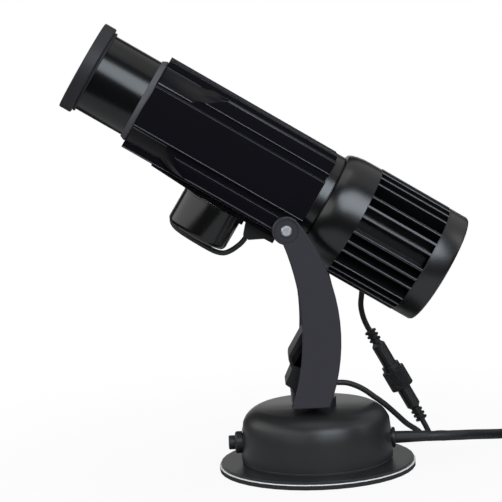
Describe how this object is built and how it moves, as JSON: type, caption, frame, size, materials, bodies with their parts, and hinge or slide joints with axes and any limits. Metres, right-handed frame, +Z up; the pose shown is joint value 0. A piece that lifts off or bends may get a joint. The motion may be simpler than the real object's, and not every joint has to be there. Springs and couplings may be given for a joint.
{
  "type": "gobo projector",
  "caption": "Table-top gobo projector: finned barrel with a sliding zoom tube, tilting in a two-armed bracket on a round domed base, with a mains lead and plug.",
  "frame": {"origin": "centre of the round base's underside", "axes": "+Z up, +X to the rear of the barrel and the mains lead, +Y away from the side that the picture shows"},
  "size_m": [0.4387, 0.1555, 0.3321],
  "materials": {
    "base_rubber": "matte black rubber",
    "foam_edge": "white foam edge",
    "black_enamel": "semi-gloss black paint",
    "bracket_paint": "fine textured matte black paint",
    "black_anodised": "satin black anodising",
    "black_plastic": "satin black",
    "cord_black": "soft black sheath",
    "zinc_steel": "zinc plated",
    "bright_steel": "bright",
    "brass_pin": "plain",
    "natural_nylon": "natural nylon",
    "lens_glass": "clear, coated",
    "lamp_board": "yellow phosphor on a white board",
    "driver_plastic": "grey",
    "holder_metal": "bare"
  },
  "bodies": {
    "base": {"base_pad": "base_rubber", "base_trim": "foam_edge", "base_plate": "black_enamel", "dome": "black_enamel", "driver_case": "driver_plastic", "push_switch": "black_plastic", "switch_nut": "zinc_steel", "mains_gland": "black_plastic", "mains_strain_relief": "cord_black", "mains_cord": "cord_black", "mains_coil": "cord_black", "cord_tie": "cord_black", "plug_body": "black_plastic", "plug_pin_1": "brass_pin", "plug_pin_2": "brass_pin", "pedestal": "black_enamel", "hollow_bolt": "zinc_steel", "stud_nut": "zinc_steel", "yoke": "bracket_paint", "yoke_brace": "black_plastic", "base_lead": "cord_black", "connector_socket": "black_plastic", "connector_nut": "black_plastic", "connector_plug": "black_plastic", "head_lead": "cord_black"},
    "head": {"housing": "black_anodised", "front_collar": "black_anodised", "rear_collar": "black_anodised", "rear_bell": "black_anodised", "heat_sink": "black_anodised", "rear_cap": "black_plastic", "cap_screw_1": "bright_steel", "cap_screw_2": "bright_steel", "cap_screw_3": "bright_steel", "cap_screw_4": "bright_steel", "led_module": "lamp_board", "lamp_holder": "holder_metal", "condenser_lens": "lens_glass", "gobo_bearing": "natural_nylon", "motor": "zinc_steel", "motor_cup": "black_plastic", "under_rail": "black_anodised", "cable_entry": "black_plastic", "motor_lead": "cord_black", "head_gland": "black_plastic", "tilt_screw_1": "bright_steel", "tilt_screw_2": "bright_steel"},
    "focus": {"focus_tube": "black_anodised", "lens_ring": "black_anodised", "front_lens": "lens_glass", "lens_retainer": "black_plastic", "rear_lens": "lens_glass", "rear_lens_ring": "black_plastic"},
    "gobo": {"gobo_carrier": "natural_nylon", "gobo_disc": "bright_steel", "gobo_clip": "bright_steel"},
    "pinion": {"drive_pinion": "natural_nylon", "motor_shaft": "bright_steel"},
    "press_button": {"button": "black_plastic"}
  },
  "joints": [
    {"name": "head_tilt", "type": "hinge", "parent": "base", "child": "head", "pos_m": [-0.0172, 0, 0.1819], "axis": [0, 1, 0], "range_deg": [-75, 18], "deforming": ["head_lead"]},
    {"name": "focus_slide", "type": "slide", "parent": "head", "child": "focus", "axis": [0.8453, 0, -0.5344], "range_m": [-0.01, 0.02]},
    {"name": "gobo_spin", "type": "hinge", "parent": "head", "child": "gobo", "pos_m": [-0.05597, 0, 0.23847], "axis": [0.8453, 0, -0.5344], "continuous": true},
    {"name": "pinion_spin", "type": "hinge", "parent": "head", "child": "pinion", "pos_m": [-0.06, 0, 0.21263], "axis": [0.5344, 0, 0.8453], "continuous": true},
    {"name": "button_press", "type": "slide", "parent": "base", "child": "press_button", "axis": [1, 0, 0], "range_m": [0, 0.0025], "stiffness_N_per_m": 600}
  ],
  "couplings": [
    {"joint": "pinion_spin", "follows": "gobo_spin", "ratio": -4}
  ]
}
